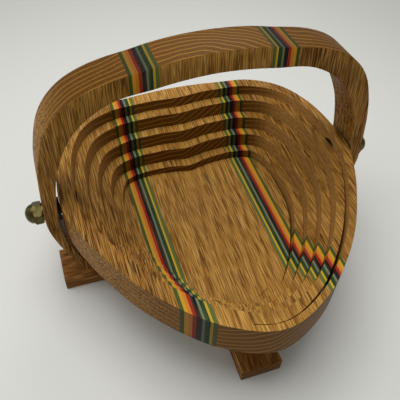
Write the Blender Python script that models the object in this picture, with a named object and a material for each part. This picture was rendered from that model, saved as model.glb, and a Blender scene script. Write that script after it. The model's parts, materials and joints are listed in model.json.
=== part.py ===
"""A collapsible basket sawn from one flat board.

A bevelled spiral kerf runs in from the rim and leaves one long strip. The bevel makes each turn of the
strip wider at its top than the opening outside it, so the turns drop and wedge into a bowl. An outer
crescent of the same board is the handle, hinged to the rim on two bolts with acorn nuts. Two crossed bars
under the floor are the feet.

Metres, +Z up. The origin is on the surface that the basket stands on, under the middle of the board. -Y is
the front. The basket is modelled open, with its handle up.
"""

import math

import bmesh
import bpy
from mathutils import Matrix, Vector

# The board. Its outline is given as shares of the rim's half width, by degrees from the front.
BOARD_THICKNESS = 0.019
RIM_HALF_WIDTH = 0.072
RIM_OUTLINE_SHARES = (
    (0, 1.174), (15, 1.108), (30, 1.022), (45, 0.965), (60, 0.938), (75, 0.953), (90, 0.996),
    (105, 1.021), (120, 1.070), (133, 1.098), (146, 1.066), (160, 0.980), (180, 0.944),
)

# The floor that the spiral ends at, as shares of its own half width. The spiral takes up the rest.
SPIRAL_WIDTH = 0.0345
FLOOR_HALF_WIDTH = RIM_HALF_WIDTH - SPIRAL_WIDTH
FLOOR_OUTLINE_SHARES = (
    (0, 1.375), (15, 1.295), (30, 1.135), (45, 1.035), (60, 0.990), (75, 0.985), (90, 1.000),
    (105, 1.045), (120, 1.150), (133, 1.200), (146, 1.060), (160, 0.920), (180, 0.850),
)
# At the back every turn bulges inwards a little, which gives the wall its wave.
BACK_BULGE = 0.0022
BACK_BULGE_SPREAD_DEG = 13.0

# The spiral cut. It starts near the front, runs anticlockwise seen from above, and ends near the front.
KERF = 0.0010
SEAT_GAP = 0.0003
START_DEG = -98.0
FULL_TURNS = 4
END_PIECE_DEG = 21.0
# Where a turn is divided, in shares of it. The first two pieces are short, because the strip falls fast there.
PIECE_ENDS_SHARES = (0, 0.0375, 0.125, 0.25, 0.375, 0.5, 0.625, 0.75, 0.875, 1)
STEPS_PER_TURN = 48
RIM_WALL_AT_START = 0.0042
DROP = 0.0315
# Half of each turn's fall comes in its first stretch, and the rest evenly.
QUICK_FALL_SHARE = 0.5
QUICK_FALL_TURN_SHARE = 0.08
# The first and the last kerf stand open at the right front.
OPEN_KERF = 0.0007
OPEN_KERF_DEG = -30.0
OPEN_KERF_SPREAD_DEG = 55.0

# The handle: a crescent of the board outside the rim, by degrees from the front.
HANDLE_GAP_SIDE = 0.0020
HANDLE_GAP_BACK = 0.0038
HANDLE_TOP_WIDTH = 0.0094
HANDLE_WIDTH_SHARES = (
    (60, 0.19), (66, 0.25), (71, 0.31), (80, 0.37), (88, 0.46), (95, 0.58), (102, 0.64), (110, 0.74),
    (118, 0.88), (128, 1.10), (138, 1.13), (149, 0.98), (164, 1.02), (180, 1.00),
)
HANDLE_STEPS = 36
# The tails reach this far past the pivots. Their ends are cut back so that they swing clear of the feet.
TAIL_FRONT = 0.038
TAIL_BACK = 0.027
HANDLE_LEAN_DEG = 4.8
PIVOT_BACK = 0.008

# Pivot bolts, spacer washers and acorn nuts
BOLT_DIAMETER = 0.0048
BOLT_CLEARANCE = 0.0003
BOLT_HEAD_DIAMETER = 0.0090
BOLT_HEAD_HEIGHT = 0.0018
BOLT_HEAD_EDGE = 0.0006
RECESS_DIAMETER = 0.0127
RECESS_COVER = 0.0011
WASHER_DIAMETER = 0.0110
NUT_ACROSS_FLATS = 0.0095
NUT_HEX_HEIGHT = 0.0040
NUT_COLLAR = 0.0005
NUT_DOME_RADIUS = 0.0042
NUT_BORE_DEPTH = 0.0056
NUT_CHAMFER = 0.0005

# Feet: two bars crossed with a half lap, screwed to the floor from below
BAR_THICKNESS = 0.0080
BAR_WIDTH = 0.0200
ACROSS_BAR_LENGTH = 0.1570
# How far behind the middle the across bar lies, as a share of the floor's half width
ACROSS_BAR_BACK_SHARE = 0.147
LENGTH_BAR_FRONT = -0.0770
LENGTH_BAR_BACK = 0.0770
# The screws of the across bar, as a share of the floor's half width
SCREW_REACH_SHARE = 2 / 3
SCREW_SHANK_DIAMETER = 0.0030
SCREW_HEAD_DIAMETER = 0.0056
SCREW_HEAD_HEIGHT = 0.0022
SCREW_HEAD_SUNK = 0.0004
SCREW_LENGTH = 0.0160
SCREW_CLEARANCE = 0.0003
CUT_OVERRUN = 0.0020

ROUND_SIDES = 24
SMALL_SIDES = 16

# Levels that follow from the sizes above
FLOOR_UNDERSIDE = BAR_THICKNESS + SEAT_GAP
FLOOR_TOP = FLOOR_UNDERSIDE + BOARD_THICKNESS
RIM_TOP = FLOOR_TOP + DROP
RIM_UNDERSIDE = RIM_TOP - BOARD_THICKNESS
PIVOT_HEIGHT = RIM_TOP - BOARD_THICKNESS / 2
PIVOT = Vector((0, PIVOT_BACK, PIVOT_HEIGHT))
ACROSS_BAR_BACK = ACROSS_BAR_BACK_SHARE * FLOOR_HALF_WIDTH

STRIP_TURNS = FULL_TURNS + END_PIECE_DEG / 360
KERF_TURNS = STRIP_TURNS + 1


def share_at(table, degrees):
    """A smooth curve through a table of (degrees, share), level at both ends."""
    places = [row[0] for row in table]
    shares = [row[1] for row in table]
    degrees = min(max(degrees, places[0]), places[-1])
    slopes = [0.0] * len(table)
    for i in range(1, len(table) - 1):
        slopes[i] = (shares[i + 1] - shares[i - 1]) / (places[i + 1] - places[i - 1])
    i = max(k for k in range(len(table) - 1) if places[k] <= degrees)
    span = places[i + 1] - places[i]
    t = (degrees - places[i]) / span
    return (
        (1 + 2 * t) * (1 - t) ** 2 * shares[i]
        + t * (1 - t) ** 2 * span * slopes[i]
        + t * t * (3 - 2 * t) * shares[i + 1]
        + t * t * (t - 1) * span * slopes[i + 1]
    )


def from_front(azimuth):
    """Degrees from the front, the same to either side, for an azimuth counted from +X."""
    return abs((azimuth + 90 + 180) % 360 - 180)


def rim_radius(azimuth):
    return RIM_HALF_WIDTH * share_at(RIM_OUTLINE_SHARES, from_front(azimuth))


def floor_radius(azimuth):
    return FLOOR_HALF_WIDTH * share_at(FLOOR_OUTLINE_SHARES, from_front(azimuth))


def azimuth_at(turns):
    """The azimuth that the cut has reached after this many turns."""
    return START_DEG + 360 * turns


def kerf_radius(turns):
    """The middle of the kerf at mid thickness: from just inside the rim's edge to the floor's outline."""
    azimuth = azimuth_at(turns)
    rim, floor = rim_radius(azimuth), floor_radius(azimuth)
    start_share = RIM_WALL_AT_START / (rim_radius(START_DEG) - floor_radius(START_DEG))
    inset_share = start_share + (1 - start_share) * turns / KERF_TURNS
    off_back = (180 - from_front(azimuth)) / BACK_BULGE_SPREAD_DEG
    return rim + (floor - rim) * inset_share - BACK_BULGE * math.exp(-off_back * off_back)


def open_kerf(azimuth):
    """How much wider than the saw's cut the first and the last kerf stand, at rest and flat alike."""
    off = ((azimuth - OPEN_KERF_DEG + 180) % 360 - 180) / OPEN_KERF_SPREAD_DEG
    return OPEN_KERF * math.exp(-off * off)


def fall_share(part_of_turn):
    """The share of one turn's fall that the strip has made after this part of the turn."""
    quick = 1 - math.exp(-part_of_turn / QUICK_FALL_TURN_SHARE)
    whole = 1 - math.exp(-1 / QUICK_FALL_TURN_SHARE)
    return (1 - QUICK_FALL_SHARE) * part_of_turn + QUICK_FALL_SHARE * quick / whole


def turns_of_fall(turns):
    whole = math.floor(turns)
    return whole + fall_share(turns - whole)


FALL_PER_TURN = DROP / turns_of_fall(STRIP_TURNS)
# The bevel takes the kerf down to the seat gap when a turn has dropped by a full step.
BEVEL = (KERF - SEAT_GAP) / FALL_PER_TURN


def fall_at(turns):
    return FALL_PER_TURN * turns_of_fall(turns)


def wood(name, colour, roughness=0.55):
    material = bpy.data.materials.new(name)
    material.use_nodes = True
    shader = material.node_tree.nodes["Principled BSDF"]
    shader.inputs["Base Color"].default_value = (*colour, 1)
    shader.inputs["Roughness"].default_value = roughness
    return material


def metal(name, colour, roughness):
    material = wood(name, colour, roughness)
    material.node_tree.nodes["Principled BSDF"].inputs["Metallic"].default_value = 1.0
    return material


def add_object(name, shape, material, origin=None):
    """Makes an object from a bmesh. Its origin goes to the given point, with the shape left where it is."""
    mesh = bpy.data.meshes.new(name)
    if origin is not None:
        bmesh.ops.translate(shape, verts=shape.verts, vec=-origin)
    bmesh.ops.recalc_face_normals(shape, faces=shape.faces)
    shape.to_mesh(mesh)
    shape.free()
    mesh.materials.append(material)
    thing = bpy.data.objects.new(name, mesh)
    if origin is not None:
        thing.location = origin
    bpy.context.scene.collection.objects.link(thing)
    return thing


def polar(radius, azimuth, height):
    angle = math.radians(azimuth)
    return Vector((radius * math.cos(angle), radius * math.sin(angle), height))


def wall_point(radius, azimuth, top, height, shift=0.0):
    """A point on a bevelled wall, which leans outwards towards the board's top face.

    shift moves the point round by that length, which is how two pieces keep a gap end to end.
    """
    leaning = radius + BEVEL * (height - (top - BOARD_THICKNESS / 2))
    return polar(leaning, azimuth + math.degrees(shift / radius), height)


def loft(shape, sections, closed=False):
    """Joins sections of equally many points into a tube, capped unless it is closed on itself."""
    rows = [[shape.verts.new(point) for point in section] for section in sections]
    count = len(rows[0])
    pairs = list(zip(rows, rows[1:]))
    if closed:
        pairs.append((rows[-1], rows[0]))
    for near, far in pairs:
        for i in range(count):
            j = (i + 1) % count
            shape.faces.new((near[i], near[j], far[j], far[i]))
    if not closed:
        shape.faces.new(reversed(rows[0]))
        shape.faces.new(rows[-1])


def round_bar(shape, sections, sides, to_world):
    """A turned shape along local +Z through (height, radius) sections, moved by a matrix."""
    rings = []
    for height, radius in sections:
        ring = []
        for k in range(sides):
            angle = 2 * math.pi * k / sides
            ring.append(to_world @ Vector((radius * math.cos(angle), radius * math.sin(angle), height)))
        rings.append(ring)
    loft(shape, rings)


def cutter(name, sections, sides, to_world):
    shape = bmesh.new()
    round_bar(shape, sections, sides, to_world)
    thing = add_object(name, shape, CUTTER_LOOK)
    thing.hide_render = True
    thing.display_type = "WIRE"
    return thing


def cut(thing, other):
    boolean = thing.modifiers.new("Cut_" + other.name, "BOOLEAN")
    boolean.operation = "DIFFERENCE"
    boolean.object = other


def strip_section(turns, end_shift):
    """The strip's four corners at one place of its outer kerf."""
    azimuth = azimuth_at(turns)
    top = RIM_TOP - fall_at(turns)
    underside = top - BOARD_THICKNESS
    outer = kerf_radius(turns) - KERF / 2
    inner = kerf_radius(turns + 1) + KERF / 2
    if turns < 1:
        outer -= open_kerf(azimuth)
    return [
        wall_point(outer, azimuth, top, top, end_shift),
        wall_point(outer, azimuth, top, underside, end_shift),
        wall_point(inner, azimuth, top, underside, end_shift),
        wall_point(inner, azimuth, top, top, end_shift),
    ]


def make_strip_piece(name, first, last):
    """One length of the spiral strip. It is ramped, since the strip falls all the way round."""
    shape = bmesh.new()
    sections = []
    steps = math.ceil(STEPS_PER_TURN * (last - first))
    for k in range(steps + 1):
        end_shift = SEAT_GAP / 2 * ((k == 0) - (k == steps))
        sections.append(strip_section(first + (last - first) * k / steps, end_shift))
    loft(shape, sections)
    return add_object(name, shape, OAK)


def ring_with_step(shape, outer_points, inner_points):
    """A closed ring whose inner wall steps in at its seam, where the strip starts.

    Each entry is a (top, underside) pair. outer_points has one entry fewer, because it closes on itself.
    """
    outer = [[shape.verts.new(point) for point in pair] for pair in outer_points]
    inner = [[shape.verts.new(point) for point in pair] for pair in inner_points]
    count = len(outer)
    for k in range(count):
        far = (k + 1) % count
        shape.faces.new((outer[k][0], outer[far][0], outer[far][1], outer[k][1]))
        shape.faces.new((inner[k][0], inner[k][1], inner[k + 1][1], inner[k + 1][0]))
        for level in (0, 1):
            corners = [outer[k][level], inner[k][level], inner[k + 1][level]]
            if far == 0:
                corners.append(inner[0][level])
            shape.faces.new(corners + [outer[far][level]])
    shape.faces.new((inner[0][0], inner[0][1], inner[-1][1], inner[-1][0]))


def make_rim():
    """The rim. Its inner wall is the first turn of the cut, and steps in where the strip leaves it."""
    outer, inner = [], []
    for k in range(STEPS_PER_TURN + 1):
        turns = k / STEPS_PER_TURN
        azimuth = azimuth_at(turns)
        if k < STEPS_PER_TURN:
            radius = rim_radius(azimuth)
            outer.append([polar(radius, azimuth, RIM_TOP), polar(radius, azimuth, RIM_UNDERSIDE)])
        wall = kerf_radius(turns) + KERF / 2
        # The step keeps the end gap to the strip's first piece.
        shift = -SEAT_GAP / 2 if k in (0, STEPS_PER_TURN) else 0.0
        inner.append([
            wall_point(wall, azimuth, RIM_TOP, RIM_TOP, shift),
            wall_point(wall, azimuth, RIM_TOP, RIM_UNDERSIDE, shift),
        ])
    shape = bmesh.new()
    ring_with_step(shape, outer, inner)
    return add_object("rim", shape, OAK)


def make_floor():
    """The floor. Its edge is the inner side of the cut's last turn, with a step where the strip joins."""
    top, underside = [], []
    for k in range(STEPS_PER_TURN + 1):
        turns = KERF_TURNS - 1 + k / STEPS_PER_TURN
        azimuth = azimuth_at(turns)
        edge = kerf_radius(turns) - KERF / 2 - open_kerf(azimuth)
        shift = SEAT_GAP / 2 if k in (0, STEPS_PER_TURN) else 0.0
        top.append(wall_point(edge, azimuth, FLOOR_TOP, FLOOR_TOP, shift))
        underside.append(wall_point(edge, azimuth, FLOOR_TOP, FLOOR_UNDERSIDE, shift))
    shape = bmesh.new()
    loft(shape, [underside, top])
    return add_object("basket_floor", shape, OAK)


def handle_inner_radius(from_front_deg):
    """The handle's inner edge when it lies flat round the rim."""
    to_back = max(0.0, (from_front_deg - 90) / 90)
    gap = HANDLE_GAP_SIDE + (HANDLE_GAP_BACK - HANDLE_GAP_SIDE) * to_back
    return RIM_HALF_WIDTH * share_at(RIM_OUTLINE_SHARES, from_front_deg) + gap


def handle_outer_radius(from_front_deg):
    width = HANDLE_TOP_WIDTH * share_at(HANDLE_WIDTH_SHARES, from_front_deg)
    return handle_inner_radius(from_front_deg) + width


def handle_place(across, up, through):
    """A place on the leaning handle: across the basket, up from the pivots, and towards its front face."""
    lean = math.radians(HANDLE_LEAN_DEG)
    along_y = up * math.sin(lean) - through * math.cos(lean)
    along_z = up * math.cos(lean) + through * math.sin(lean)
    return PIVOT + Vector((across, along_y, along_z))


def handle_point(radius, from_front_deg, side, through):
    """A point of the upright handle. side is +1 or -1, and through is its place through the thickness."""
    angle = math.radians(from_front_deg)
    return handle_place(side * radius * math.sin(angle), -radius * math.cos(angle) - PIVOT_BACK, through)


def make_handle():
    """The handle, swept round past the tails' ends and then trimmed by one slanting cut."""
    last_degrees = HANDLE_WIDTH_SHARES[0][0]
    front, back = BOARD_THICKNESS / 2, -BOARD_THICKNESS / 2
    sections = []
    for k in range(-HANDLE_STEPS, HANDLE_STEPS + 1):
        side = 1 if k >= 0 else -1
        degrees = 180 - (180 - last_degrees) * abs(k) / HANDLE_STEPS
        inner, outer = handle_inner_radius(degrees), handle_outer_radius(degrees)
        sections.append([
            handle_point(outer, degrees, side, front),
            handle_point(outer, degrees, side, back),
            handle_point(inner, degrees, side, back),
            handle_point(inner, degrees, side, front),
        ])
    shape = bmesh.new()
    loft(shape, sections)
    front_end = handle_place(0, -TAIL_FRONT, front)
    along_cut = handle_place(0, -TAIL_BACK, back) - front_end
    cut_off = bmesh.ops.bisect_plane(
        shape, geom=shape.verts[:] + shape.edges[:] + shape.faces[:], plane_co=front_end,
        plane_no=along_cut.cross(Vector((1, 0, 0))), clear_outer=True)
    open_edges = [edge for edge in cut_off["geom_cut"] if isinstance(edge, bmesh.types.BMEdge)]
    bmesh.ops.edgeloop_fill(shape, edges=open_edges)
    return add_object("handle", shape, OAK, PIVOT)


def along_x(side, x):
    """A frame at the pivot axis whose local +Z points outwards on the given side."""
    place = Matrix.Translation(Vector((side * x, PIVOT_BACK, PIVOT_HEIGHT)))
    return place @ Matrix.Rotation(side * math.pi / 2, 4, "Y")


def reach_at(radius_of, side, y):
    """How far out to one side a wall lies at the given Y."""
    reach = RIM_HALF_WIDTH
    for _ in range(8):
        azimuth = math.degrees(math.atan2(y, side * reach))
        reach = math.sqrt(radius_of(azimuth) ** 2 - y ** 2)
    return reach


def make_pivot(side, word, rim, handle):
    """A bolt from inside the rim, a spacer washer, and an acorn nut outside the handle."""
    def rim_inner(azimuth):
        return kerf_radius(((azimuth - START_DEG) % 360) / 360) + KERF / 2

    inner_wall = reach_at(rim_inner, side, PIVOT_BACK)
    handle_outer = reach_at(lambda a: handle_outer_radius(from_front(a)), side, PIVOT_BACK)
    # The walls are curved, so the washer fits between them over its whole width.
    outer = WASHER_DIAMETER / 2
    under_washer = [PIVOT_BACK + offset for offset in (-outer, 0, outer)]
    rim_face = max(reach_at(rim_radius, side, y) for y in under_washer)
    handle_inner = min(reach_at(lambda a: handle_inner_radius(from_front(a)), side, y) for y in under_washer)

    head_seat = inner_wall + RECESS_COVER + BOLT_HEAD_HEIGHT
    nut_seat = handle_outer + SEAT_GAP
    shank_end = nut_seat + NUT_BORE_DEPTH - SEAT_GAP
    radius = BOLT_DIAMETER / 2
    head = BOLT_HEAD_DIAMETER / 2

    shape = bmesh.new()
    round_bar(shape, [
        (0, head - BOLT_HEAD_EDGE),
        (BOLT_HEAD_EDGE, head),
        (BOLT_HEAD_HEIGHT - SEAT_GAP, head),
        (BOLT_HEAD_HEIGHT - SEAT_GAP, radius),
        (shank_end - head_seat + BOLT_HEAD_HEIGHT, radius),
    ], ROUND_SIDES, along_x(side, head_seat - BOLT_HEAD_HEIGHT))
    add_object("pivot_bolt_" + word, shape, BRASS, PIVOT)

    hole = radius + BOLT_CLEARANCE
    wide = RECESS_DIAMETER / 2
    before_wall = along_x(side, inner_wall - CUT_OVERRUN)
    bore = cutter(
        "bore_" + word, [(0, hole), (shank_end - inner_wall + CUT_OVERRUN, hole)], ROUND_SIDES, before_wall)
    recess = cutter(
        "recess_" + word, [(0, wide), (head_seat - inner_wall + CUT_OVERRUN, wide)], ROUND_SIDES, before_wall)
    cut(rim, bore)
    cut(rim, recess)
    cut(handle, bore)

    shape = bmesh.new()
    make_tube(shape, outer, hole, handle_inner - rim_face - 2 * SEAT_GAP, along_x(side, rim_face + SEAT_GAP))
    add_object("spacer_washer_" + word, shape, BRASS, PIVOT)

    shape = bmesh.new()
    make_acorn_nut(shape, hole, along_x(side, nut_seat))
    add_object("acorn_nut_" + word, shape, BRASS, PIVOT)


def make_tube(shape, outer, inner, length, to_world):
    """A ring with a through bore."""
    profile = [(inner, 0), (outer, 0), (outer, length), (inner, length)]
    sections = []
    for k in range(ROUND_SIDES):
        angle = 2 * math.pi * k / ROUND_SIDES
        sections.append([
            to_world @ Vector((radius * math.cos(angle), radius * math.sin(angle), height))
            for radius, height in profile
        ])
    loft(shape, sections, closed=True)


def make_acorn_nut(shape, hole, to_world):
    """A collar, a hexagon, a dome, and a blind bore from the collar side, as one closed skin."""
    flat = NUT_ACROSS_FLATS / 2
    corner = flat / math.cos(math.pi / 6)
    hex_start, hex_end = NUT_COLLAR, NUT_COLLAR + NUT_HEX_HEIGHT
    dome_steps = 4

    def ring(height, radius, six=False):
        points = []
        for k in range(ROUND_SIDES):
            angle = 2 * math.pi * k / ROUND_SIDES
            reach = radius
            if six:
                in_sector = (angle + math.pi / 6) % (math.pi / 3) - math.pi / 6
                reach = min(radius, flat / math.cos(in_sector))
            points.append(to_world @ Vector((reach * math.cos(angle), reach * math.sin(angle), height)))
        return points

    rings = [
        ring(NUT_BORE_DEPTH, hole),
        ring(0, hole),
        ring(0, flat - NUT_CHAMFER),
        ring(hex_start, flat - NUT_CHAMFER),
        ring(hex_start, corner - NUT_CHAMFER, six=True),
        ring(hex_start + NUT_CHAMFER, corner, six=True),
        ring(hex_end - NUT_CHAMFER, corner, six=True),
        ring(hex_end, corner - NUT_CHAMFER, six=True),
    ]
    for k in range(dome_steps):
        angle = math.pi / 2 * k / dome_steps
        rings.append(ring(hex_end + NUT_DOME_RADIUS * math.sin(angle), NUT_DOME_RADIUS * math.cos(angle)))
    loft(shape, rings)


def box(shape, low, high):
    corners = [(low[0], low[1]), (high[0], low[1]), (high[0], high[1]), (low[0], high[1])]
    loft(shape, [[Vector((x, y, height)) for x, y in corners] for height in (low[2], high[2])])


def bar_with_lap(name, low, high, lap_low, lap_high):
    """A foot bar with a half-lap notch, cut from its top or from its underside."""
    shape = bmesh.new()
    box(shape, low, high)
    bar = add_object(name, shape, BAR_OAK)
    shape = bmesh.new()
    box(shape, lap_low, lap_high)
    notch = add_object(name + "_notch", shape, CUTTER_LOOK)
    notch.hide_render = True
    notch.display_type = "WIRE"
    cut(bar, notch)
    return bar


def make_feet():
    half = BAR_WIDTH / 2
    middle = BAR_THICKNESS / 2
    lap = half + SEAT_GAP
    y = ACROSS_BAR_BACK
    across = bar_with_lap(
        "foot_bar_across",
        (-ACROSS_BAR_LENGTH / 2, y - half, 0), (ACROSS_BAR_LENGTH / 2, y + half, BAR_THICKNESS),
        (-lap, y - half - CUT_OVERRUN, middle), (lap, y + half + CUT_OVERRUN, BAR_THICKNESS + CUT_OVERRUN))
    lengthwise = bar_with_lap(
        "foot_bar_lengthwise",
        (-half, LENGTH_BAR_FRONT, 0), (half, LENGTH_BAR_BACK, BAR_THICKNESS),
        (-half - CUT_OVERRUN, y - lap, -CUT_OVERRUN), (half + CUT_OVERRUN, y + lap, middle + SEAT_GAP))
    return across, lengthwise


def make_screw(number, x, y, bar, floor):
    """A countersunk screw from under a bar into the floor."""
    shank = SCREW_SHANK_DIAMETER / 2
    head = SCREW_HEAD_DIAMETER / 2
    place = Matrix.Translation(Vector((x, y, SCREW_HEAD_SUNK)))
    shape = bmesh.new()
    round_bar(shape, [
        (0, head), (SCREW_HEAD_HEIGHT, shank), (SCREW_LENGTH - shank, shank), (SCREW_LENGTH, shank / 2),
    ], SMALL_SIDES, place)
    add_object("foot_screw_%d" % number, shape, STEEL)
    hole = cutter("screw_hole_%d" % number, [
        (-SCREW_HEAD_SUNK - CUT_OVERRUN, head + SCREW_CLEARANCE),
        (0, head + SCREW_CLEARANCE),
        (SCREW_HEAD_HEIGHT, shank + SCREW_CLEARANCE),
        (SCREW_LENGTH + SCREW_CLEARANCE, shank + SCREW_CLEARANCE),
    ], SMALL_SIDES, place)
    cut(bar, hole)
    cut(floor, hole)


for leftover in list(bpy.data.objects):
    bpy.data.objects.remove(leftover)

OAK = wood("Oiled oak", (0.42, 0.22, 0.08))
BAR_OAK = wood("Oak of the feet", (0.30, 0.14, 0.05))
BRASS = metal("Dull brass", (0.50, 0.40, 0.20), 0.45)
STEEL = metal("Zinc-plated steel", (0.55, 0.55, 0.52), 0.40)
CUTTER_LOOK = wood("Cutter", (0.8, 0.1, 0.1))

rim = make_rim()
basket_floor = make_floor()
for turn in range(FULL_TURNS):
    for piece, (first, last) in enumerate(zip(PIECE_ENDS_SHARES, PIECE_ENDS_SHARES[1:]), 1):
        make_strip_piece("turn_%d_piece_%d" % (turn + 1, piece), turn + first, turn + last)
make_strip_piece("turn_%d_end_piece" % (FULL_TURNS + 1), FULL_TURNS, STRIP_TURNS)

handle = make_handle()
for side, word in ((-1, "left"), (1, "right")):
    make_pivot(side, word, rim, handle)

bar_across, bar_lengthwise = make_feet()
reach = SCREW_REACH_SHARE * FLOOR_HALF_WIDTH
# Each screw of the lengthwise bar sits midway between the across bar and the edge of the floor.
behind = (ACROSS_BAR_BACK + BAR_WIDTH / 2 + floor_radius(90) - BACK_BULGE) / 2
before = (ACROSS_BAR_BACK - BAR_WIDTH / 2 - floor_radius(-90)) / 2
screw_places = (
    (-reach, ACROSS_BAR_BACK, bar_across), (reach, ACROSS_BAR_BACK, bar_across),
    (0, before, bar_lengthwise), (0, behind, bar_lengthwise),
)
for number, (x, y, bar) in enumerate(screw_places, 1):
    make_screw(number, x, y, bar, basket_floor)
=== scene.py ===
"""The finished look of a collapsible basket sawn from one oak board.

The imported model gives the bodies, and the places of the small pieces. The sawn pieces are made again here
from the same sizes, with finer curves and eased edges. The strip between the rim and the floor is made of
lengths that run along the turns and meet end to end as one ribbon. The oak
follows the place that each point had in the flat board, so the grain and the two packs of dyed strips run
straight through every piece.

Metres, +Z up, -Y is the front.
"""

import json
import math

import bmesh
import bpy
from mathutils import Matrix, Vector


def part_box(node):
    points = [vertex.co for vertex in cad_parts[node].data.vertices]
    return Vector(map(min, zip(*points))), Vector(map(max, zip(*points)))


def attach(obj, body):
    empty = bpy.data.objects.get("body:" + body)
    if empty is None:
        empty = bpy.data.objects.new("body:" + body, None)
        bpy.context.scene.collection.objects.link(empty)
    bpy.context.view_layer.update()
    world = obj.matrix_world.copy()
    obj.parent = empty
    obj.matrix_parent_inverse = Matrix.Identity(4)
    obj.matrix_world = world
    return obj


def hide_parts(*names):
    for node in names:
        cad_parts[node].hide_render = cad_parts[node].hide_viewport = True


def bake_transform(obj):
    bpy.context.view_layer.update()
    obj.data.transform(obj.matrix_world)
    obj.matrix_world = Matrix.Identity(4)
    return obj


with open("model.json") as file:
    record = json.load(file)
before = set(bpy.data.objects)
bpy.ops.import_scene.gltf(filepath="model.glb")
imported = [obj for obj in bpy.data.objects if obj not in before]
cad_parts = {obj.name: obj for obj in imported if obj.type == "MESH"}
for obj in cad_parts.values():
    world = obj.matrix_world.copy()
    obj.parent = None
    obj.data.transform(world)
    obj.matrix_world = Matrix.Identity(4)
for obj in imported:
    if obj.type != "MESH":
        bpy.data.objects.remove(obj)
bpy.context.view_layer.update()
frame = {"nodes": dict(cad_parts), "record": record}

# The board and its cut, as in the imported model
BOARD_THICKNESS = 0.019
RIM_HALF_WIDTH = 0.072
RIM_OUTLINE_SHARES = (
    (0, 1.174), (15, 1.108), (30, 1.022), (45, 0.965), (60, 0.938), (75, 0.953), (90, 0.996),
    (105, 1.021), (120, 1.070), (133, 1.098), (146, 1.066), (160, 0.980), (180, 0.944),
)
FLOOR_HALF_WIDTH = 0.0375
FLOOR_OUTLINE_SHARES = (
    (0, 1.375), (15, 1.295), (30, 1.135), (45, 1.035), (60, 0.990), (75, 0.985), (90, 1.000),
    (105, 1.045), (120, 1.150), (133, 1.200), (146, 1.060), (160, 0.920), (180, 0.850),
)
BACK_BULGE = 0.0022
BACK_BULGE_SPREAD_DEG = 13.0
KERF = 0.0010
SEAT_GAP = 0.0003
START_DEG = -98.0
FULL_TURNS = 4
END_PIECE_DEG = 21.0
PIECE_ENDS_SHARES = (0, 0.0375, 0.125, 0.25, 0.375, 0.5, 0.625, 0.75, 0.875, 1)
RIM_WALL_AT_START = 0.0042
DROP = 0.0315
QUICK_FALL_SHARE = 0.5
QUICK_FALL_TURN_SHARE = 0.08
# How far the turns stay apart once they have wedged, and how much wider the top of the cut stays where it
# still shows as a dark line
TIGHT_GAP = 0.0001
RIM_OPEN_GAP, RIM_OPEN_DEG, RIM_OPEN_SPREAD_DEG = 0.0011, -56.0, 34.0
FLOOR_OPEN_GAP, FLOOR_OPEN_DEG, FLOOR_OPEN_SPREAD_DEG = 0.0012, 0.0, 46.0

# The handle and its pivots
HANDLE_GAP_SIDE = 0.0020
HANDLE_GAP_BACK = 0.0038
HANDLE_TOP_WIDTH = 0.0094
HANDLE_WIDTH_SHARES = (
    (60, 0.19), (66, 0.25), (71, 0.31), (80, 0.37), (88, 0.46), (95, 0.58), (102, 0.64), (110, 0.74),
    (118, 0.88), (128, 1.10), (138, 1.13), (149, 0.98), (164, 1.02), (180, 1.00),
)
# How far the tails reach below the pivots, on the handle's front face and on its back face
TAIL_FRONT = 0.038
TAIL_BACK = 0.027
HANDLE_LEAN_DEG = 4.8
PIVOT_BACK = 0.008
BOLT_HOLE_RADIUS = 0.0027
BOLT_HEAD_HEIGHT = 0.0018
RECESS_RADIUS = 0.00635
# Where the bores for the bolts start inside the rim, and where they end past the rim and past the handle
BORE_START = RIM_HALF_WIDTH - 0.012
RIM_BORE_END = RIM_HALF_WIDTH + 0.004
HANDLE_BORE_END = 0.090

# The feet
BAR_THICKNESS = 0.0080
SCREW_COUNT = 4

FLOOR_UNDERSIDE = BAR_THICKNESS + SEAT_GAP
FLOOR_TOP = FLOOR_UNDERSIDE + BOARD_THICKNESS
RIM_TOP = FLOOR_TOP + DROP
PIVOT = Vector((0, PIVOT_BACK, RIM_TOP - BOARD_THICKNESS / 2))
STRIP_TURNS = FULL_TURNS + END_PIECE_DEG / 360
KERF_TURNS = STRIP_TURNS + 1

# How finely the curves are made here, and how far their edges are eased
STEPS_PER_TURN = 144
HANDLE_STEPS = 90
ROUND_STEPS = 48
DOME_STEP_DEG = 9
SAWN_EASE = 0.0002
RIM_EASE = 0.0005
HANDLE_EASE = 0.0007
BAR_EASE = 0.0005
SHARP_EDGE_DEG = 50
SMOOTH_EDGE_DEG = 18
SMOOTH_NUT_DEG = 30
# The corner of the rim's step starts just short of the inner wall, so that the sweep can tell the two points
# apart. The weld at the seam then makes them one.
STEP_START_SHARE = 0.999
SEAM_WELD = 0.00006
# How near to each other two points of a cut mesh are one
SAME_POINT = 0.000003
# How far a cutter runs past what it cuts
OVERRUN = 0.002


def share_at(table, degrees):
    """A smooth curve through a table of (degrees, share), level at both ends."""
    places = [row[0] for row in table]
    shares = [row[1] for row in table]
    degrees = min(max(degrees, places[0]), places[-1])
    slopes = [0.0] * len(table)
    for i in range(1, len(table) - 1):
        slopes[i] = (shares[i + 1] - shares[i - 1]) / (places[i + 1] - places[i - 1])
    i = max(k for k in range(len(table) - 1) if places[k] <= degrees)
    span = places[i + 1] - places[i]
    t = (degrees - places[i]) / span
    return (
        (1 + 2 * t) * (1 - t) ** 2 * shares[i]
        + t * (1 - t) ** 2 * span * slopes[i]
        + t * t * (3 - 2 * t) * shares[i + 1]
        + t * t * (t - 1) * span * slopes[i + 1]
    )


def from_front(azimuth):
    """The angle away from the front, 0 to 180 degrees on either side."""
    return abs((azimuth + 90 + 180) % 360 - 180)


def rim_radius(azimuth):
    return RIM_HALF_WIDTH * share_at(RIM_OUTLINE_SHARES, from_front(azimuth))


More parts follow.
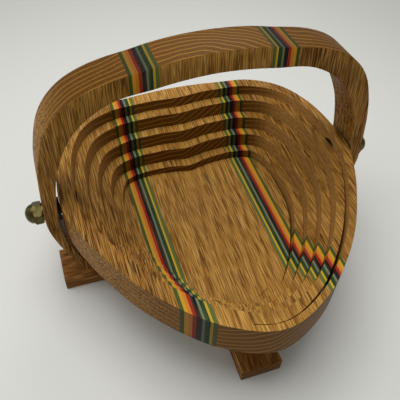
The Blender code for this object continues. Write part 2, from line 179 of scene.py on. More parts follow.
def floor_radius(azimuth):
    return FLOOR_HALF_WIDTH * share_at(FLOOR_OUTLINE_SHARES, from_front(azimuth))


def azimuth_at(turns):
    return START_DEG + 360 * turns


def kerf_radius(turns):
    """How far out the middle of the cut runs, from just inside the rim's edge to the edge of the floor."""
    azimuth = azimuth_at(turns)
    rim, floor = rim_radius(azimuth), floor_radius(azimuth)
    start_share = RIM_WALL_AT_START / (rim_radius(START_DEG) - floor_radius(START_DEG))
    inset_share = start_share + (1 - start_share) * turns / KERF_TURNS
    off_back = (180 - from_front(azimuth)) / BACK_BULGE_SPREAD_DEG
    return rim + (floor - rim) * inset_share - BACK_BULGE * math.exp(-off_back * off_back)


def open_gap(azimuth, widest, middle, spread):
    """The gap at the top of the cut, which is widest about one azimuth."""
    off = ((azimuth - middle + 180) % 360 - 180) / spread
    return TIGHT_GAP + widest * math.exp(-off * off)


def turns_of_fall(turns):
    """How many turns' worth the strip has fallen. A share of each turn's fall comes quickly, at its start."""
    whole = math.floor(turns)
    part = turns - whole
    quick = (1 - math.exp(-part / QUICK_FALL_TURN_SHARE)) / (1 - math.exp(-1 / QUICK_FALL_TURN_SHARE))
    return whole + (1 - QUICK_FALL_SHARE) * part + QUICK_FALL_SHARE * quick


FALL_PER_TURN = DROP / turns_of_fall(STRIP_TURNS)
BEVEL = (KERF - SEAT_GAP) / FALL_PER_TURN


def fall_at(turns):
    return FALL_PER_TURN * turns_of_fall(turns)


def wedged_radius(turns, fall, gap):
    """Where a wall stands that has fallen this far below its outer neighbour and stays this far off it."""
    return kerf_radius(turns) + KERF / 2 - BEVEL * fall - gap


def polar(radius, azimuth, height):
    angle = math.radians(azimuth)
    return Vector((radius * math.cos(angle), radius * math.sin(angle), height))


def wall_point(radius, azimuth, top, height):
    """A point on a bevelled wall, which leans outwards towards the board's top face."""
    return polar(radius + BEVEL * (height - (top - BOARD_THICKNESS / 2)), azimuth, height)


# Making pieces

def finish_mesh(name, shape, material, smooth_deg=SMOOTH_EDGE_DEG):
    """Turns a bmesh into a piece, smooth along its curves and crisp at its edges."""
    bmesh.ops.recalc_face_normals(shape, faces=shape.faces)
    mesh = bpy.data.meshes.new(name)
    shape.to_mesh(mesh)
    shape.free()
    mesh.shade_smooth()
    mesh.set_sharp_from_angle(angle=math.radians(smooth_deg))
    mesh.materials.append(material)
    piece = bpy.data.objects.new(name, mesh)
    bpy.context.scene.collection.objects.link(piece)
    return piece


def sweep(shape, sections):
    """Draws the first section out through all the others. Returns the face at each end."""
    first = shape.faces.new([shape.verts.new(point) for point in sections[0]])
    face = first
    for near, far in zip(sections, sections[1:]):
        left_behind = face
        made = bmesh.ops.extrude_face_region(shape, geom=[face])["geom"]
        face = next(item for item in made if isinstance(item, bmesh.types.BMFace))
        if left_behind is not first:
            bmesh.ops.delete(shape, geom=[left_behind], context="FACES_ONLY")
        for corner in face.verts:
            place = min(range(len(near)), key=lambda i: (near[i] - corner.co).length_squared)
            corner.co = far[place]
    return first, face


def ease(shape, width, keep=(), segments=2):
    """Rounds the sharp edges, apart from those of the faces to keep."""
    kept = {edge for face in keep for edge in face.edges}
    limit = math.radians(SHARP_EDGE_DEG)
    sharp = [
        edge for edge in shape.edges
        if edge not in kept and len(edge.link_faces) == 2 and edge.calc_face_angle() > limit
    ]
    bmesh.ops.bevel(
        shape, geom=sharp, offset=width, segments=segments, profile=0.5, affect="EDGES", material=-1,
        clamp_overlap=True)


def combined(piece, others, operation):
    """Joins other shapes to a piece, cuts them out of it or keeps what they share, and throws them away."""
    for other in others:
        boolean = piece.modifiers.new("Joint", "BOOLEAN")
        boolean.operation = operation
        boolean.solver = "EXACT"
        boolean.object = other
    graph = bpy.context.evaluated_depsgraph_get()
    mesh = bpy.data.meshes.new_from_object(piece.evaluated_get(graph))
    piece.modifiers.clear()
    piece.data = mesh
    shape = bmesh.new()
    shape.from_mesh(mesh)
    bmesh.ops.remove_doubles(shape, verts=shape.verts, dist=SAME_POINT)
    shape.to_mesh(mesh)
    shape.free()
    mesh.set_sharp_from_angle(angle=math.radians(SMOOTH_EDGE_DEG))
    for other in others:
        bpy.data.objects.remove(other)
    return piece


def bored(piece, cutters):
    return combined(piece, cutters, "DIFFERENCE")


def round_cutter(radius, start, end):
    """A round cutter between two points."""
    along = end - start
    shape = bmesh.new()
    turn = along.to_track_quat("Z", "Y").to_matrix().to_4x4()
    bmesh.ops.create_cone(
        shape, cap_ends=True, segments=ROUND_STEPS, radius1=radius, radius2=radius, depth=along.length,
        matrix=Matrix.Translation((start + end) / 2) @ turn)
    return finish_mesh("cutter", shape, oak)


def remember_board(piece, to_board, grain=Vector((0, 1, 0)), sawn_walls=False):
    """Keeps each point's place in the flat board, where the grain runs along Y.

    It also keeps how far each face is end grain and, on the ring-shaped pieces, how far it is a sawn wall
    along the grain that faces inwards.
    """
    mesh = piece.data
    place = mesh.attributes.new("board", "FLOAT_VECTOR", "POINT")
    place.data.foreach_set("vector", [x for vertex in mesh.vertices for x in to_board(vertex.co)])
    end_grain = mesh.attributes.new("end_grain", "FLOAT", "FACE")
    end_grain.data.foreach_set("value", [abs(face.normal.dot(grain)) for face in mesh.polygons])
    if sawn_walls:
        wall = mesh.attributes.new("inner_wall", "FLOAT", "FACE")
        inwards = [max(0.0, -face.normal.x * math.copysign(1, face.center.x)) for face in mesh.polygons]
        wall.data.foreach_set("value", inwards)


# Finishes

class Value:
    """One output of a material's nodes. Arithmetic on it adds Math nodes."""

    def __init__(self, recipe, output):
        self.recipe = recipe
        self.output = output

    def maths(self, operation, *values):
        return self.recipe.node("ShaderNodeMath", {"operation": operation}, dict(enumerate(values)))

    def __add__(self, other):
        return self.maths("ADD", self, other)

    def __radd__(self, other):
        return self.maths("ADD", other, self)

    def __sub__(self, other):
        return self.maths("SUBTRACT", self, other)

    def __rsub__(self, other):
        return self.maths("SUBTRACT", other, self)

    def __mul__(self, other):
        return self.maths("MULTIPLY", self, other)

    def __rmul__(self, other):
        return self.maths("MULTIPLY", other, self)

    def __truediv__(self, other):
        return self.maths("DIVIDE", self, other)

    def __abs__(self):
        return self.maths("ABSOLUTE", self)

    def root(self):
        return self.maths("SQRT", self)

    def part(self):
        return self.maths("FRACT", self)

    def above(self, level):
        return self.maths("GREATER_THAN", self, level)

    def higher(self, other):
        return self.maths("MAXIMUM", self, other)

    def eased(self, low, high, to_low=0.0, to_high=1.0):
        """A smooth step from to_low at low to to_high at high."""
        return self.recipe.node(
            "ShaderNodeMapRange", {"interpolation_type": "SMOOTHSTEP"},
            {"Value": self, "From Min": low, "From Max": high, "To Min": to_low, "To Max": to_high})


class Recipe:
    """A material and its Principled shader."""

    # Where a Mix node for colours has its share, its two colours and its outcome
    MIX_SHARE, MIX_FIRST, MIX_SECOND, MIX_OUTCOME = 0, 6, 7, 2

    def __init__(self, name):
        self.material = bpy.data.materials.new(name)
        self.material.use_nodes = True
        self.tree = self.material.node_tree
        self.shader = self.tree.nodes["Principled BSDF"]

    def node(self, kind, settings=None, sockets=None, output=0):
        made = self.tree.nodes.new(kind)
        for key, value in (settings or {}).items():
            if key == "stops":
                ramp = made.color_ramp
                while len(ramp.elements) < len(value):
                    ramp.elements.new(1.0)
                for stop, (place, colour) in zip(ramp.elements, value):
                    stop.position = place
                    stop.color = (*colour, 1)
            elif key == "interpolation":
                made.color_ramp.interpolation = value
            else:
                setattr(made, key, value)
        for key, value in (sockets or {}).items():
            if isinstance(value, Value):
                self.tree.links.new(value.output, made.inputs[key])
            else:
                made.inputs[key].default_value = value
        return Value(self, made.outputs[output])

    def attribute(self, name, output):
        return self.node("ShaderNodeAttribute", {"attribute_name": name}, output=output)

    def place(self):
        return self.node("ShaderNodeTexCoord", output="Object")

    def scaled(self, vector, scale):
        return self.node("ShaderNodeMapping", {}, {"Vector": vector, "Scale": scale})

    def noise(self, vector, scale, detail=2.0, rough=0.5):
        """Noise about one unit wide after the vector is scaled."""
        return self.node(
            "ShaderNodeTexNoise", {},
            {"Vector": self.scaled(vector, scale), "Scale": 1.0, "Detail": detail, "Roughness": rough})

    def axes(self, vector):
        split = self.node("ShaderNodeSeparateXYZ", {}, {"Vector": vector})
        return [Value(self, split.output.node.outputs[i]) for i in range(3)]

    def mixed(self, share, first, second, blend="MIX"):
        """One colour over another."""
        made = self.tree.nodes.new("ShaderNodeMix")
        made.data_type = "RGBA"
        made.blend_type = blend
        for index, value in ((self.MIX_SHARE, share), (self.MIX_FIRST, first), (self.MIX_SECOND, second)):
            if isinstance(value, Value):
                self.tree.links.new(value.output, made.inputs[index])
            else:
                made.inputs[index].default_value = value if index == self.MIX_SHARE else (*value, 1)
        return Value(self, made.outputs[self.MIX_OUTCOME])

    def set(self, socket, value):
        if isinstance(value, Value):
            self.tree.links.new(value.output, self.shader.inputs[socket])
        else:
            self.shader.inputs[socket].default_value = value

    def bump(self, height, strength, distance):
        self.set("Normal", self.node(
            "ShaderNodeBump", {}, {"Height": height, "Strength": strength, "Distance": distance}))


def colour(red, green, blue):
    """The linear values of a colour that is written as it looks on a screen, 0 to 255."""
    return tuple(
        c / 255 / 12.92 if c / 255 <= 0.04045 else ((c / 255 + 0.055) / 1.055) ** 2.4
        for c in (red, green, blue))


# The dyed strips of one pack, from the middle of the basket outwards: each one's share of the pack's width,
# and its colour
STRIP_SHARES = (
    (0.125, colour(86, 100, 46)), (0.075, colour(192, 158, 44)), (0.140, colour(18, 58, 26)),
    (0.080, colour(108, 118, 92)), (0.150, colour(12, 9, 14)), (0.100, colour(150, 26, 8)),
    (0.100, colour(200, 116, 40)), (0.115, colour(198, 144, 28)), (0.115, colour(60, 78, 30)),
)
WORN_DYE = colour(150, 124, 78)
DYED_END_GRAIN = colour(22, 18, 13)
PALE_FIBRE = colour(214, 170, 100)
# Painted light and sheen for the sawn walls that face inwards
PAINTED_LIGHT_ON_WALLS = colour(190, 145, 84)
DARKER_PLANK = colour(236, 233, 228)
PACK_START_MM = 23.9
PACK_WIDTH_MM = 12.2
# The middle of the growth rings in the board between the packs, and in the boards outside them
MIDDLE_PITH_ACROSS_MM, MIDDLE_PITH_UP_MM, MIDDLE_PITH_SLANT = -26.0, 45.0, 0.06
SIDE_PITH_ACROSS_MM, SIDE_PITH_UP_MM = 57.0, -125.0
RING_WIDTH_MM = 3.1
RING_SWAY_MM = 11.0
RING_DRIFT_SHARE = 1.1
# How finely the grain changes, in cells to the metre across the board, along it and through it. Those of the
# pores and fibres differ across and through the board, so that no regular pattern shows.
SWAY_CELLS = (20.0, 4.0, 20.0)
DRIFT_CELLS = (70.0, 10.0, 70.0)
TONE_CELLS = (60.0, 7.0, 60.0)
BAND_CELLS = (430.0, 9.0, 430.0)
LONG_PORE_CELLS = (1870.0, 62.0, 1730.0)
FINE_PORE_CELLS = (2410.0, 88.0, 2130.0)
DARK_FIBRE_CELLS = (1720.0, 44.0, 1570.0)
PALE_FIBRE_CELLS = (1530.0, 66.0, 1390.0)
END_SPECK_CELLS = (1500.0, 100.0, 1500.0)
WORN_DYE_CELLS = (1500.0, 60.0, 1500.0)
TARNISH_CELLS = (420.0, 420.0, 420.0)


def growth_rings(recipe, place, x, y, z):
    """The early wood and the line of late wood of each ring, and a mask of the boards outside the packs."""
    sway = recipe.noise(place, SWAY_CELLS) - 0.5
    drift = recipe.noise(place, DRIFT_CELLS, detail=1.0) - 0.5
    outer = abs(x).above(PACK_START_MM + PACK_WIDTH_MM / 2)
    middle_across = x - MIDDLE_PITH_ACROSS_MM - y * MIDDLE_PITH_SLANT
    across = middle_across + outer * (abs(x) - SIDE_PITH_ACROSS_MM - middle_across)
    below = z - MIDDLE_PITH_UP_MM + outer * (MIDDLE_PITH_UP_MM - SIDE_PITH_UP_MM)
    from_pith = (across * across + below * below).root()
    ring = ((from_pith + sway * RING_SWAY_MM) / RING_WIDTH_MM + drift * RING_DRIFT_SHARE).part()
    early = ring.eased(0.0, 0.12) * ring.eased(0.25, 0.8, 1.0, 0.0)
    late_line = ring.eased(0.62, 0.82) * ring.eased(0.88, 1.0, 1.0, 0.0)
    return early, late_line, outer


def open_pores(recipe, place, early):
    """Long pores, most of them in the early wood, and finer ones everywhere."""
    long_pores = recipe.noise(place, LONG_PORE_CELLS, detail=0.6).eased(0.545, 0.60) * (early * 0.45 + 0.5)
    fine_pores = recipe.noise(place, FINE_PORE_CELLS, detail=0.7).eased(0.50, 0.59) * 0.7
    return long_pores.higher(fine_pores)


def oak_grain(recipe, place, end_grain, light, middle, pore_dark, end_dark, end_light):
    """Ring-porous oak along Y.

    Returns its colour, its pores and the place across the board in millimetres.
    """
    x, y, z = [axis * 1000.0 for axis in recipe.axes(place)]
    early, late_line, outer = growth_rings(recipe, place, x, y, z)
    pores = open_pores(recipe, place, early)
    dark_fibre = recipe.noise(place, DARK_FIBRE_CELLS, rough=0.6).eased(0.42, 0.6)
    pale_fibre = recipe.noise(place, PALE_FIBRE_CELLS, detail=1.0).eased(0.52, 0.62)
    band = recipe.noise(place, BAND_CELLS).eased(0.35, 0.65)
    tone = recipe.noise(place, TONE_CELLS).eased(0.3, 0.75)
    face = recipe.mixed(early * 0.4 + dark_fibre * 0.4 + band * 0.16, light, middle)
    face = recipe.mixed(pale_fibre * 0.5, face, PALE_FIBRE)
    face = recipe.mixed(tone * 0.12, face, middle)
    face = recipe.mixed(pores * (outer * 0.15 + 0.85), face, pore_dark)
    speck = recipe.noise(place, END_SPECK_CELLS, rough=0.7).eased(0.4, 0.8)
    end = recipe.mixed(late_line * 0.8 + speck * 0.35, end_dark, end_light)
    # The boards outside the packs came from a darker plank.
    shade = recipe.mixed(outer, recipe.mixed(end_grain, face, end), DARKER_PLANK, "MULTIPLY")
    return shade, pores * (1.0 - end_grain), x


def oiled(recipe, shade, pores):
    """A thin hand-rubbed oil finish that leaves the pores open."""
    recipe.set("Base Color", shade)
    recipe.set("Roughness", pores * 0.2 + 0.45)
    recipe.set("Specular IOR Level", 0.08)
    recipe.bump(1.0 - pores, 0.3, 0.0002)
    return recipe.material


def board_oak():
    """Oiled oak with the two packs of dyed strips, placed by where each point lay in the board."""
    recipe = Recipe("Oiled board oak")
    place = recipe.attribute("board", "Vector")
    end_grain = recipe.attribute("end_grain", "Fac").eased(0.4, 0.9)
    shade, pores, x = oak_grain(
        recipe, place, end_grain, light=colour(194, 144, 66), middle=colour(150, 101, 37),
        pore_dark=colour(80, 47, 13), end_dark=colour(96, 60, 14), end_light=colour(154, 109, 42))
    # The sawn walls that face inwards are painted paler: a painted light and sheen on them.
    inner_wall = recipe.attribute("inner_wall", "Fac")
    shade = recipe.mixed(inner_wall.eased(0.15, 0.9) * 0.4, shade, PAINTED_LIGHT_ON_WALLS)
    through = (abs(x) - PACK_START_MM) / PACK_WIDTH_MM
    stops, start = [], 0.0
    for share, dye in STRIP_SHARES:
        stops.append((start, dye))
        start += share
    strips = recipe.node(
        "ShaderNodeValToRGB", {"stops": stops, "interpolation": "CONSTANT"}, {"Fac": through})
    worn = recipe.noise(place, WORN_DYE_CELLS).eased(0.35, 0.75)
    strips = recipe.mixed(worn * 0.2, strips, WORN_DYE)
    strips = recipe.mixed(end_grain * 0.6, strips, DYED_END_GRAIN)
    in_pack = through.above(0.0) * (1.0 - through.above(1.0))
    return oiled(recipe, recipe.mixed(in_pack, shade, strips), pores * (1.0 - in_pack * 0.7))


def foot_oak():
    """The feet's own darker oak, with the grain along each bar."""
    recipe = Recipe("Oiled foot oak")
    place = recipe.attribute("board", "Vector")
    end_grain = recipe.attribute("end_grain", "Fac").eased(0.4, 0.9)
    shade, pores, _ = oak_grain(
        recipe, place, end_grain, light=colour(158, 104, 44), middle=colour(114, 68, 24),
        pore_dark=colour(64, 35, 10), end_dark=colour(88, 54, 13), end_light=colour(130, 87, 28))
    return oiled(recipe, shade, pores)


def dull_metal(name, light, dark, roughness):
    """Handled metal with a cloudy tarnish."""
    recipe = Recipe(name)
    cloud = recipe.noise(recipe.place(), TARNISH_CELLS, detail=3.0)
    recipe.set("Base Color", recipe.mixed(cloud.eased(0.35, 0.7), light, dark))
    recipe.set("Metallic", 1.0)
    recipe.set("Roughness", cloud * 0.15 + roughness)
    recipe.bump(cloud, 0.05, 0.0001)
    return recipe.material


oak = board_oak()
bar_oak = foot_oak()
nut_brass = dull_metal("Dull brass", colour(97, 87, 52), colour(68, 61, 35), 0.26)
# The bolts' own dark bronze; on the spacer washers it is a painted shade for the gap between the handle and
# the rim
bolt_bronze_and_washer_shade = dull_metal("Dark bolt bronze and painted washer shade", colour(64, 52, 38), colour(34, 27, 20), 0.45)
screw_zinc = dull_metal("Zinc of the screws", colour(190, 188, 176), colour(150, 146, 130), 0.35)


# The sawn pieces

def strip_section(turns):
    """The corners of the strip's section, with its outer wall close to the turn outside it."""
    azimuth = azimuth_at(turns)
    top = RIM_TOP - fall_at(turns)
    underside = top - BOARD_THICKNESS
    fall, gap = FALL_PER_TURN, TIGHT_GAP
    if turns < 1:
        fall, gap = fall_at(turns), open_gap(azimuth, RIM_OPEN_GAP, RIM_OPEN_DEG, RIM_OPEN_SPREAD_DEG)
    outer_top, outer_under = wedged_radius(turns, fall, gap), wedged_radius(turns, fall, TIGHT_GAP)
    inner = kerf_radius(turns + 1) + KERF / 2
    return [
        wall_point(outer_top, azimuth, top, top), wall_point(outer_under, azimuth, top, underside),
        wall_point(inner, azimuth, top, underside), wall_point(inner, azimuth, top, top),
    ]


def strip_middle(turns):
    corners = strip_section(turns)
    return sum(corners, Vector()) / len(corners)


def make_strip_length(name, first, last):
    steps = max(2, math.ceil(STEPS_PER_TURN * (last - first)))
    shape = bmesh.new()
    ends = sweep(shape, [strip_section(first + (last - first) * k / steps) for k in range(steps + 1)])
    ease(shape, SAWN_EASE, keep=ends)
    length = finish_mesh(name, shape, oak)
    middle = (first + last) / 2

    def to_board(point):
        off = math.degrees(math.atan2(point.y, point.x)) - azimuth_at(middle)
        turns = middle + ((off + 180) % 360 - 180) / 360
        return Vector((point.x, point.y, point.z - RIM_TOP + fall_at(max(0.0, turns))))

    remember_board(length, to_board, sawn_walls=True)
    return length


def step_back(share):
    """The place between 0 and 1 at which a smooth step has the given height."""
    low, high = 0.0, 1.0
    for _ in range(40):
        middle = (low + high) / 2
        low, high = (middle, high) if middle * middle * (3 - 2 * middle) < share else (low, middle)
    return low


def bend(length, first, last, share):
    """Bakes the length's place into its mesh."""
    start, end = strip_middle(first), strip_middle(last)
    along = end - start
    start + along / (1 - step_back(share))
    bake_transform(length)


ratio_of = {item["joint"]: item["ratio"] for item in frame["record"]["behaviour"]["couplings"]}
lengths = []
for turn in range(FULL_TURNS):
    for number, (begin, end) in enumerate(zip(PIECE_ENDS_SHARES, PIECE_ENDS_SHARES[1:]), 1):
        body = "turn_%d_length_%d" % (turn + 1, number)
        lengths.append({
            "node": "turn_%d_piece_%d" % (turn + 1, number),
            "body": body,
            "middle": turn + (begin + end) / 2,
            "ratio": ratio_of[body + "_drop"],
        })

root_length = make_strip_length("strip_at_rim", 0.0, lengths[0]["middle"])
bend(root_length, 0.0, lengths[0]["middle"], lengths[0]["ratio"])
for near, far in zip(lengths, lengths[1:]):
    length = make_strip_length("strip_" + near["node"], near["middle"], far["middle"])
    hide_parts(near["node"])
    bend(length, near["middle"], far["middle"], far["ratio"] / near["ratio"])
last_length = make_strip_length("strip_at_floor", lengths[-1]["middle"], STRIP_TURNS)
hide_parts(lengths[-1]["node"], "turn_5_end_piece")
strip_middle(STRIP_TURNS)
strip_middle(FULL_TURNS)
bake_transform(last_length)


def rim_section(turns, top_share, under_share):
    """The rim's section, with a point on each face that becomes the corner of the step at the seam."""
    azimuth = azimuth_at(turns)
    underside = RIM_TOP - BOARD_THICKNESS
    edge = rim_radius(azimuth)
    wall = kerf_radius(turns) + KERF / 2
    outer_top, outer_under = polar(edge, azimuth, RIM_TOP), polar(edge, azimuth, underside)
    inner_top = wall_point(wall, azimuth, RIM_TOP, RIM_TOP)
    inner_under = wall_point(wall, azimuth, RIM_TOP, underside)
    return [
        outer_top, outer_under,
        outer_under.lerp(inner_under, under_share), inner_under,
        inner_top, outer_top.lerp(inner_top, top_share),
    ]


def make_rim():
    """The rim, with the start of the strip cut into its inner side and a bore and a recess for each bolt."""
    start_radius = rim_radius(START_DEG)
    first_wall, last_wall = kerf_radius(0) + KERF / 2, kerf_radius(1) + KERF / 2
    lean = BEVEL * BOARD_THICKNESS / 2
    seam_shares = [
        (start_radius - first_wall - off) / (start_radius - last_wall - off) for off in (lean, -lean)
    ]
    shape = bmesh.new()
    sections = []
    for k in range(STEPS_PER_TURN + 1):
        turns = k / STEPS_PER_TURN
        inwards = (1 - turns) * STEP_START_SHARE
        sections.append(rim_section(turns, *(share + (1 - share) * inwards for share in seam_shares)))
    ends = sweep(shape, sections)
    bmesh.ops.delete(shape, geom=list(ends), context="FACES_ONLY")
    bmesh.ops.remove_doubles(shape, verts=shape.verts, dist=SEAM_WELD)
    open_edges = [edge for edge in shape.edges if len(edge.link_faces) == 1]
    step = bmesh.ops.contextual_create(shape, geom=open_edges)["faces"]
    bmesh.ops.recalc_face_normals(shape, faces=shape.faces)
    ease(shape, RIM_EASE, keep=step)
    rim = finish_mesh("rim_wood", shape, oak)
    head_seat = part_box("pivot_bolt_right")[0].x + BOLT_HEAD_HEIGHT
    for side in (-1, 1):
        axis = Vector((side, 0, 0))
        start = PIVOT + axis * BORE_START
        bored(rim, [
            round_cutter(BOLT_HOLE_RADIUS, start, PIVOT + axis * RIM_BORE_END),
            round_cutter(RECESS_RADIUS, start, PIVOT + axis * head_seat),
        ])
    remember_board(rim, lambda point: Vector((point.x, point.y, point.z - RIM_TOP)), sawn_walls=True)
    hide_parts("rim")
    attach(rim, "rim_ring")


def make_floor():
    """The middle of the board, with the step where the strip leaves it."""
    top, underside = [], []
    for k in range(STEPS_PER_TURN + 1):
        turns = KERF_TURNS - 1 + k / STEPS_PER_TURN
        azimuth = azimuth_at(turns)
        gap = open_gap(azimuth, FLOOR_OPEN_GAP, FLOOR_OPEN_DEG, FLOOR_OPEN_SPREAD_DEG)
        fall = DROP - fall_at(turns - 1)
        edge_top, edge_under = wedged_radius(turns, fall, gap), wedged_radius(turns, fall, TIGHT_GAP)
        top.append(wall_point(edge_top, azimuth, FLOOR_TOP, FLOOR_TOP))
        underside.append(wall_point(edge_under, azimuth, FLOOR_TOP, FLOOR_UNDERSIDE))
    shape = bmesh.new()
    sweep(shape, [underside, top])
    ease(shape, SAWN_EASE)
    floor = finish_mesh("floor_wood", shape, oak)
    remember_board(floor, lambda point: Vector((point.x, point.y, point.z - FLOOR_TOP)))
    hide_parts("basket_floor")
    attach(floor, "base")


make_rim()
make_floor()


# The handle

def handle_inner_radius(from_front_deg):
    to_back = max(0.0, (from_front_deg - 90) / 90)
    gap = HANDLE_GAP_SIDE + (HANDLE_GAP_BACK - HANDLE_GAP_SIDE) * to_back
    return RIM_HALF_WIDTH * share_at(RIM_OUTLINE_SHARES, from_front_deg) + gap


def handle_outer_radius(from_front_deg):
    width = HANDLE_TOP_WIDTH * share_at(HANDLE_WIDTH_SHARES, from_front_deg)
    return handle_inner_radius(from_front_deg) + width


def handle_place(across, up, through):
    """A place on the leaning handle: across the basket, up from the pivots, and towards its front face."""
    lean = math.radians(HANDLE_LEAN_DEG)
    along_y = up * math.sin(lean) - through * math.cos(lean)
    along_z = up * math.cos(lean) + through * math.sin(lean)
    return PIVOT + Vector((across, along_y, along_z))


def handle_point(radius, from_front_deg, side, through):
    """A place on the handle, from its radius and angle in the flat board."""
    angle = math.radians(from_front_deg)
    return handle_place(side * radius * math.sin(angle), -radius * math.cos(angle) - PIVOT_BACK, through)


def handle_to_board(point):
    """Where a point of the upright handle lay in the flat board."""
    lean = math.radians(HANDLE_LEAN_DEG)
    off = point - PIVOT
    up = off.y * math.sin(lean) + off.z * math.cos(lean)
    through = -off.y * math.cos(lean) + off.z * math.sin(lean)
    return Vector((point.x, PIVOT_BACK + up, through - BOARD_THICKNESS / 2))


def make_handle():
    """The crescent outside the rim, with its tails cut off aslant and a bore in each side."""
    last_degrees = HANDLE_WIDTH_SHARES[0][0]
    front, back = BOARD_THICKNESS / 2, -BOARD_THICKNESS / 2
    sections = []
    for k in range(-HANDLE_STEPS, HANDLE_STEPS + 1):
        side = 1 if k >= 0 else -1
        degrees = 180 - (180 - last_degrees) * abs(k) / HANDLE_STEPS
        inner, outer = handle_inner_radius(degrees), handle_outer_radius(degrees)
        sections.append([
            handle_point(outer, degrees, side, front), handle_point(outer, degrees, side, back),
            handle_point(inner, degrees, side, back), handle_point(inner, degrees, side, front),
        ])
    shape = bmesh.new()
    sweep(shape, sections)
    front_end = handle_place(0, -TAIL_FRONT, front)
    along_cut = handle_place(0, -TAIL_BACK, back) - front_end
    cut_off = bmesh.ops.bisect_plane(
        shape, geom=shape.verts[:] + shape.edges[:] + shape.faces[:], plane_co=front_end,
        plane_no=along_cut.cross(Vector((1, 0, 0))), clear_outer=True)
    open_edges = [edge for edge in cut_off["geom_cut"] if isinstance(edge, bmesh.types.BMEdge)]
    bmesh.ops.edgeloop_fill(shape, edges=open_edges)
    bmesh.ops.recalc_face_normals(shape, faces=shape.faces)
    ease(shape, HANDLE_EASE, segments=3)
    handle = finish_mesh("handle_wood", shape, oak)
    for side in (-1, 1):
        axis = Vector((side, 0, 0))
        start, end = PIVOT + axis * RIM_HALF_WIDTH, PIVOT + axis * HANDLE_BORE_END
        bored(handle, [round_cutter(BOLT_HOLE_RADIUS, start, end)])
    lean = math.radians(HANDLE_LEAN_DEG)
    remember_board(handle, handle_to_board, Vector((0, math.sin(lean), math.cos(lean))))
    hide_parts("handle")
    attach(handle, "handle")


make_handle()


# The feet

def make_block(name, low, high, material, width=0.0):
    """A squared block between two corners, with its edges eased."""
    shape = bmesh.new()
    bmesh.ops.create_cube(
        shape, size=1.0, matrix=Matrix.Translation((low + high) / 2) @ Matrix.Diagonal((*(high - low), 1)))
    if width:
        ease(shape, width, segments=3)
    return finish_mesh(name, shape, material)


def make_bar(node, notch_low, notch_high, to_board, grain):
    """A foot bar with its half of the lap joint and the recesses for its screws."""
    low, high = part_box(node)
    bar = make_block(node + "_wood", low, high, bar_oak, BAR_EASE)
    cutters = [make_block("cutter", notch_low, notch_high, bar_oak)]
    for number in range(1, SCREW_COUNT + 1):
        screw_low, screw_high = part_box("foot_screw_%d" % number)
        middle = (screw_low + screw_high) / 2
        if low.x < middle.x < high.x and low.y < middle.y < high.y:
            below, above = Vector((middle.x, middle.y, -OVERRUN)), Vector((middle.x, middle.y, screw_high.z))
            cutters.append(round_cutter((screw_high.x - screw_low.x) / 2, below, above))
    bored(bar, cutters)
    remember_board(bar, to_board, grain)
    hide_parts(node)
    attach(bar, "base")


across_low, across_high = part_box("foot_bar_across")
length_low, length_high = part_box("foot_bar_lengthwise")
half_bar = BAR_THICKNESS / 2
make_bar(
    "foot_bar_across",
    Vector((length_low.x - SEAT_GAP, across_low.y - OVERRUN, half_bar)),
    Vector((length_high.x + SEAT_GAP, across_high.y + OVERRUN, BAR_THICKNESS + OVERRUN)),
    lambda point: Vector((point.y, point.x, point.z - BAR_THICKNESS)), Vector((1, 0, 0)))
make_bar(
    "foot_bar_lengthwise",
    Vector((length_low.x - OVERRUN, across_low.y - SEAT_GAP, -OVERRUN)),
    Vector((length_high.x + OVERRUN, across_high.y + SEAT_GAP, half_bar + SEAT_GAP)),
    lambda point: Vector((point.x, point.y, point.z - BAR_THICKNESS)), Vector((0, 1, 0)))


# The bolts, washers, nuts and screws

NUT_COLLAR = 0.0005
NUT_HEX_HEIGHT = 0.0040
NUT_DOME_RADIUS = 0.0046
NUT_CHAMFER = 0.0005
NUT_BORE_DEPTH = 0.0056


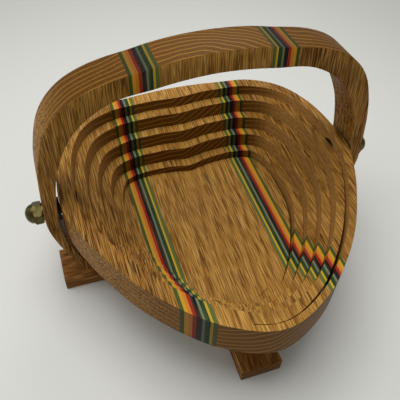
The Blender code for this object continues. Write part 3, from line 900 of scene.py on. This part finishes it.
def make_acorn_nut(node, side):
    """A collar, a hexagon and a dome round a blind bore."""
    low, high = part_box(node)
    face = low.x if side > 0 else -high.x
    centre = (low + high) / 2
    corner = (high.y - low.y) / 2
    flat = corner * math.cos(math.pi / 6)
    out = Matrix.Translation((side * face, centre.y, centre.z)) @ Matrix.Rotation(side * math.pi / 2, 4, "Y")

    def turned(profile):
        """Spins (height, radius) points round the bolt's axis."""
        shape = bmesh.new()
        points = [shape.verts.new((radius, 0, height)) for height, radius in profile]
        edges = [shape.edges.new(pair) for pair in zip(points, points[1:])]
        bmesh.ops.spin(
            shape, geom=points + edges, cent=(0, 0, 0), axis=(0, 0, 1), angle=2 * math.pi, steps=ROUND_STEPS,
            use_merge=True)
        bmesh.ops.remove_doubles(shape, verts=shape.verts, dist=SAME_POINT)
        bmesh.ops.transform(shape, matrix=out, verts=shape.verts)
        return finish_mesh("cutter", shape, nut_brass, SMOOTH_NUT_DEG)

    hex_top = NUT_COLLAR + NUT_HEX_HEIGHT
    dome_height = high.x - low.x - hex_top
    angles = [math.radians(degrees) for degrees in range(0, 91, DOME_STEP_DEG)]
    dome = [(hex_top + dome_height * math.sin(a), NUT_DOME_RADIUS * math.cos(a)) for a in angles]
    body = turned([
        (0, 0), (0, flat - NUT_CHAMFER), (NUT_COLLAR + NUT_CHAMFER, flat - NUT_CHAMFER),
        (hex_top - NUT_CHAMFER, NUT_DOME_RADIUS), *dome])
    shape = bmesh.new()
    middle = Matrix.Translation((0, 0, NUT_COLLAR + NUT_HEX_HEIGHT / 2))
    bmesh.ops.create_cone(
        shape, cap_ends=True, segments=6, radius1=corner, radius2=corner, depth=NUT_HEX_HEIGHT,
        matrix=out @ middle @ Matrix.Rotation(math.pi / 6, 4, "Z"))
    hexagon = finish_mesh("cutter", shape, nut_brass)
    limit = turned([
        (NUT_COLLAR - NUT_CHAMFER, 0), (NUT_COLLAR, corner - NUT_CHAMFER), (NUT_COLLAR + NUT_CHAMFER, corner),
        (hex_top - NUT_CHAMFER, corner), (hex_top, corner - NUT_CHAMFER), (hex_top + NUT_CHAMFER, 0)])
    combined(hexagon, [limit], "INTERSECT")
    nut = combined(body, [hexagon], "UNION")
    nut.name = nut.data.name = node + "_brass"
    start = Vector((side * (face - OVERRUN), centre.y, centre.z))
    end = Vector((side * (face + NUT_BORE_DEPTH), centre.y, centre.z))
    bored(nut, [round_cutter(BOLT_HOLE_RADIUS, start, end)])
    nut.data.materials.clear()
    nut.data.materials.append(nut_brass)
    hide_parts(node)
    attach(nut, "rim_ring")


make_acorn_nut("acorn_nut_left", -1)
make_acorn_nut("acorn_nut_right", 1)

# The spacer washers are painted in the bolts' dark bronze, a painted shade for the gap between the handle and
# the rim
SMALL_PIECE_FINISHES = {"pivot_bolt": bolt_bronze_and_washer_shade, "spacer_washer": bolt_bronze_and_washer_shade, "foot_screw": screw_zinc}
for name, node in frame["nodes"].items():
    for start, finish in SMALL_PIECE_FINISHES.items():
        if name.startswith(start):
            node.data.materials.clear()
            node.data.materials.append(finish)


# The photograph's view, the table and the light

CAMERA_SENSOR_MM = 36.0
CAMERA_LENS_MM = 49.06
CAMERA_PLACE = Vector((-0.06779, -0.16512, 0.24632))
CAMERA_TARGET = Vector((-0.00832, -0.00606, 0.0493))
CAMERA_ROLL_DEG = 2.94
NEAREST_SEEN = 0.01
TABLE_HALF_SIZE = 3.0
TABLE_TOP = -0.0001
# The table is painted bright up to the first of these distances from the basket's middle, and painted darker
# from the second: a painted pool of light round the basket
TABLE_PAINTED_LIGHT_TO, TABLE_PAINTED_DIM_FROM = 0.12, 0.38
# Each lamp's name, power in watts, size and place
LAMPS = (
    ("Lamp above", 7.9, 0.8, Vector((-0.12, 0.10, 1.10))),
    ("Room at the left", 1.8, 0.7, Vector((-0.80, 0.32, 0.50))),
    ("Window behind", 2.4, 0.55, Vector((0.40, 0.95, 0.85))),
)
LAMP_TARGET = Vector((0, 0, 0.04))
ROOM_LIGHT = 0.32

def aim(thing, place, target, roll_deg=0.0):
    """Turns a camera or a light at a place to look at a target."""
    forward = (target - place).normalized()
    right = forward.cross(Vector((0, 0, 1))).normalized()
    up = right.cross(forward)
    roll = math.radians(roll_deg)
    right, up = right * math.cos(roll) + up * math.sin(roll), up * math.cos(roll) - right * math.sin(roll)
    thing.matrix_world = Matrix.Translation(place) @ Matrix((right, up, -forward)).transposed().to_4x4()


camera = bpy.data.objects.new("Camera", bpy.data.cameras.new("Camera"))
camera.data.sensor_width = CAMERA_SENSOR_MM
camera.data.lens = CAMERA_LENS_MM
camera.data.clip_start = NEAREST_SEEN
bpy.context.scene.collection.objects.link(camera)
bpy.context.scene.camera = camera
aim(camera, CAMERA_PLACE, CAMERA_TARGET, CAMERA_ROLL_DEG)


def pale_table():
    recipe = Recipe("Pale table")
    x, y, _ = recipe.axes(recipe.place())
    # A painted pool of light: brighter near the basket, darker farther out
    painted_light_falloff = (x * x + y * y).root().eased(TABLE_PAINTED_LIGHT_TO, TABLE_PAINTED_DIM_FROM)
    recipe.set("Base Color", recipe.mixed(painted_light_falloff, colour(216, 216, 210), colour(182, 182, 174)))
    recipe.set("Roughness", 0.6)
    return recipe.material


shape = bmesh.new()
bmesh.ops.create_grid(
    shape, x_segments=1, y_segments=1, size=TABLE_HALF_SIZE, matrix=Matrix.Translation((0, 0, TABLE_TOP)))
table = finish_mesh("table_top", shape, pale_table())

for name, power, size, place in LAMPS:
    light = bpy.data.lights.new(name, "AREA")
    light.energy = power
    light.size = size
    lamp = bpy.data.objects.new(name, light)
    bpy.context.scene.collection.objects.link(lamp)
    aim(lamp, place, LAMP_TARGET)

world = bpy.data.worlds.new("Room")
bpy.context.scene.world = world
world.use_nodes = True
background = world.node_tree.nodes["Background"].inputs
background["Color"].default_value = (*colour(248, 250, 252), 1)
background["Strength"].default_value = ROOM_LIGHT
bpy.context.scene.view_settings.view_transform = "Standard"
